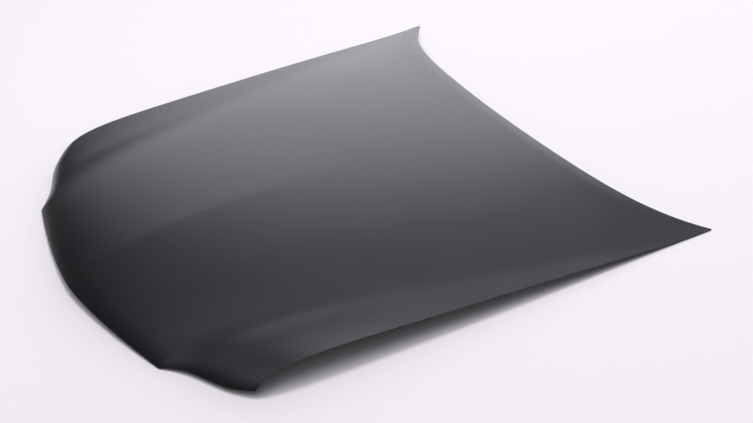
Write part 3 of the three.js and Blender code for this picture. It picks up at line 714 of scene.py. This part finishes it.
def node_tree(name):
    material = bpy.data.materials.new(name)
    material.use_nodes = True
    nodes = material.node_tree.nodes
    return material, nodes, material.node_tree.links, nodes["Principled BSDF"]


def noise(nodes, links, scale, detail):
    place = nodes.new("ShaderNodeTexCoord")
    cloud = nodes.new("ShaderNodeTexNoise")
    cloud.inputs["Scale"].default_value = scale
    cloud.inputs["Detail"].default_value = detail
    links.new(place.outputs["Object"], cloud.inputs["Vector"])
    return cloud.outputs["Fac"]


def spread(nodes, links, source, low, high):
    """Noise stretched to run from one value to another."""
    node = nodes.new("ShaderNodeMapRange")
    node.clamp = False
    node.inputs["From Min"].default_value = NOISE_RANGE[0]
    node.inputs["From Max"].default_value = NOISE_RANGE[1]
    node.inputs["To Min"].default_value = low
    node.inputs["To Max"].default_value = high
    links.new(source, node.inputs["Value"])
    return node.outputs["Result"]


def surface_finish(name, colour, roughness, drift, scale, detail, relief):
    """Painted or dried surface: tone and gloss that drift a little, and a fine relief of one scale."""
    material, nodes, links, shader = node_tree(name)
    cloud = noise(nodes, links, scale, detail)
    tint = nodes.new("ShaderNodeMix")
    tint.data_type = "RGBA"
    tint.clamp_factor = False
    tint.inputs["A"].default_value = (*[(1 - drift) * part for part in colour], 1)
    tint.inputs["B"].default_value = (*[(1 + drift) * part for part in colour], 1)
    links.new(spread(nodes, links, cloud, 0, 1), tint.inputs["Factor"])
    links.new(tint.outputs["Result"], shader.inputs["Base Color"])
    gloss = spread(nodes, links, cloud, (1 - drift) * roughness, (1 + drift) * roughness)
    links.new(gloss, shader.inputs["Roughness"])
    grain_scale, depth = relief
    bump = nodes.new("ShaderNodeBump")
    bump.inputs["Strength"].default_value = 1
    bump.inputs["Distance"].default_value = depth
    links.new(noise(nodes, links, grain_scale, GRAIN_DETAIL), bump.inputs["Height"])
    links.new(bump.outputs["Normal"], shader.inputs["Normal"])
    return material


def make_camera():
    data = bpy.data.cameras.new("camera")
    data.sensor_width = SENSOR_WIDTH
    data.lens = SENSOR_WIDTH * FOCAL_PIXELS / IMAGE_WIDTH
    data.clip_end = CAMERA_REACH
    camera = bpy.data.objects.new("camera", data)
    turn = Matrix((CAMERA_RIGHT, CAMERA_UP, -CAMERA_FORWARD)).transposed()
    camera.matrix_world = Matrix.Translation(CAMERA_PLACE) @ turn.to_4x4()
    bpy.context.scene.collection.objects.link(camera)
    bpy.context.scene.camera = camera


def make_lamp():
    data = bpy.data.lights.new("overhead", "AREA")
    data.shape = "RECTANGLE"
    data.size = LAMP_SIZE
    data.size_y = LAMP_SIZE
    data.energy = LAMP_POWER
    data.color = LAMP_COLOUR
    lamp = bpy.data.objects.new("overhead", data)
    lamp.location = LAMP_PLACE
    lamp.rotation_euler = (-Vector(LAMP_PLACE)).to_track_quat("-Z", "Y").to_euler()
    lamp.visible_camera = False
    bpy.context.scene.collection.objects.link(lamp)


def ramp(nodes, links, source, low, high, start, end):
    """Smooth step of a value from one level at low to another at high."""
    step = nodes.new("ShaderNodeMapRange")
    step.interpolation_type = "SMOOTHSTEP"
    step.inputs["From Min"].default_value = low
    step.inputs["From Max"].default_value = high
    step.inputs["To Min"].default_value = start
    step.inputs["To Max"].default_value = end
    links.new(source, step.inputs["Value"])
    return step.outputs["Result"]


def combine(nodes, links, operation, first, second):
    node = nodes.new("ShaderNodeMath")
    node.operation = operation
    for socket, value in zip(node.inputs, (first, second)):
        if isinstance(value, (int, float)):
            socket.default_value = value
        else:
            links.new(value, socket)
    return node.outputs["Value"]


def make_world():
    """Studio: a broad bright wall low on the far right, a dim one behind the camera, a plain ceiling."""
    world = bpy.data.worlds.new("studio")
    world.use_nodes = True
    nodes = world.node_tree.nodes
    links = world.node_tree.links
    direction = nodes.new("ShaderNodeTexCoord")
    split = nodes.new("ShaderNodeSeparateXYZ")
    links.new(direction.outputs["Generated"], split.inputs["Vector"])
    x, y, z = (split.outputs[axis] for axis in "XYZ")
    wall = ramp(nodes, links, y, *WALL_EDGE, 0, WALL_LEVEL)
    wall = combine(nodes, links, "MULTIPLY", wall, ramp(nodes, links, x, *WALL_END, 1, WALL_END_SHARE))
    near_wall = ramp(nodes, links, x, *NEAR_WALL_EDGE, 0, NEAR_WALL_LEVEL)
    walls = combine(nodes, links, "ADD", wall, near_wall)
    walls = combine(nodes, links, "MULTIPLY", walls, ramp(nodes, links, z, *WALL_TOP, 1, 0))
    ceiling = ramp(nodes, links, z, *CEILING_EDGE, ROOM_LEVEL, CEILING_LEVEL)
    total = combine(nodes, links, "ADD", walls, ceiling)
    background = nodes["Background"]
    background.inputs["Color"].default_value = STUDIO_COLOUR
    links.new(total, background.inputs["Strength"])
    bpy.context.scene.world = world


def make_floor():
    mesh = bpy.data.meshes.new("floor")
    corners = [(x, y, 0) for x, y in rectangle(2 * FLOOR_HALF, 2 * FLOOR_HALF)]
    mesh.from_pydata(corners, [], [(0, 1, 2, 3)])
    floor = bpy.data.objects.new("floor", mesh)
    bpy.context.scene.collection.objects.link(floor)
    material, _, _, shader = node_tree("floor")
    shader.inputs["Base Color"].default_value = FLOOR_COLOUR
    shader.inputs["Roughness"].default_value = FLOOR_ROUGHNESS
    shader.inputs["Specular IOR Level"].default_value = FLOOR_SPECULAR
    mesh.materials.append(material)


skin_primer = surface_finish("skin_primer", (0.0078, 0.0090, 0.0100), 0.27, 0.03, 6, 1, (900, 0.000003))
frame_primer = surface_finish("frame_primer", (0.011, 0.0112, 0.0118), 0.42, 0.10, 16, 4, (380, 0.00003))
plate_primer = surface_finish("plate_primer", (0.016, 0.0162, 0.0168), 0.50, 0.16, 60, 4, (700, 0.00004))
mastic = surface_finish("mastic", (0.022, 0.0215, 0.021), 0.82, 0.12, 130, 4, (260, 0.0006))

points, faces = outer_skin()
shift = seat_in_box(points, "outer_skin")
new_piece("bonnet_skin", points + shift, faces, skin_primer, "outer_skin")
points, faces = inner_frame(shift)
new_piece("bonnet_frame", points + shift, faces, frame_primer, "inner_frame")
for node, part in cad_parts.items():
    if node not in ("outer_skin", "inner_frame"):
        for place in part.material_slots:
            place.material = mastic if node.startswith("mastic") else plate_primer

make_camera()
make_world()
make_floor()
make_lamp()

bpy.context.scene.view_settings.view_transform = "Standard"
